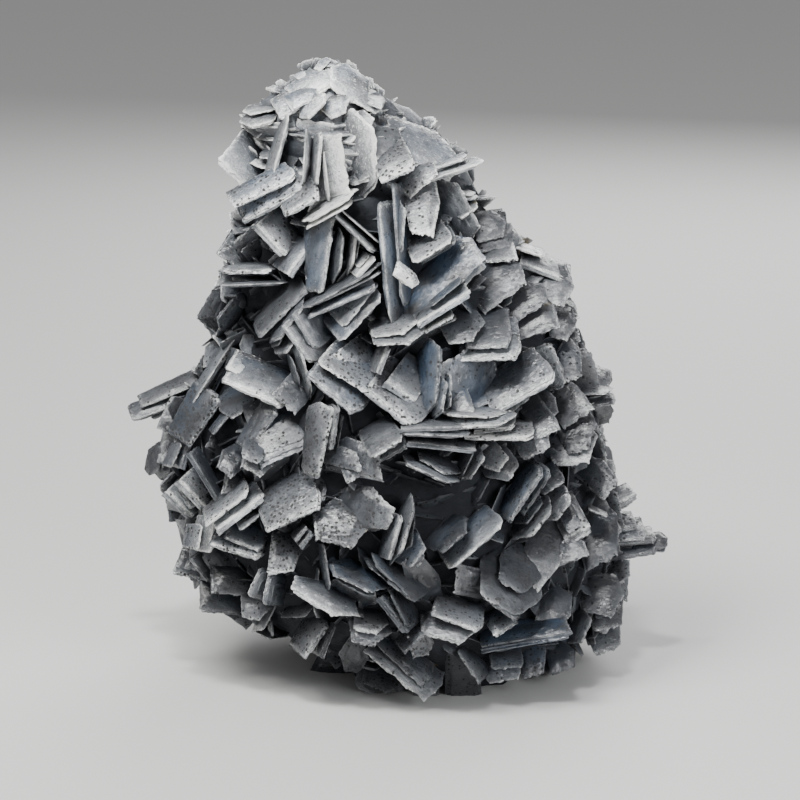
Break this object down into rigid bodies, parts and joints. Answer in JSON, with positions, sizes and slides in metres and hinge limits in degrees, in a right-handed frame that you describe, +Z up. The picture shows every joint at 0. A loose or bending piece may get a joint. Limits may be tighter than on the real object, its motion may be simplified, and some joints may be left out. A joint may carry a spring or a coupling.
{
  "type": "barite crystal cluster",
  "caption": "Upright mound of thick blue-grey barite blades grown together at all angles, cut off flat underneath so that it stands by itself.",
  "frame": {"origin": "on the resting face, under the middle of the cluster", "axes": "+Z up, along the cluster's height; -Y towards the viewer of the picture; +X to that viewer's right"},
  "size_m": [0.1512, 0.1219, 0.1683],
  "materials": {
    "barite": "pale blue-grey, waxy to glassy, with white broken edges and fine dark specks"
  },
  "bodies": {
    "root": {"barite_cluster": "barite"}
  },
  "joints": []
}
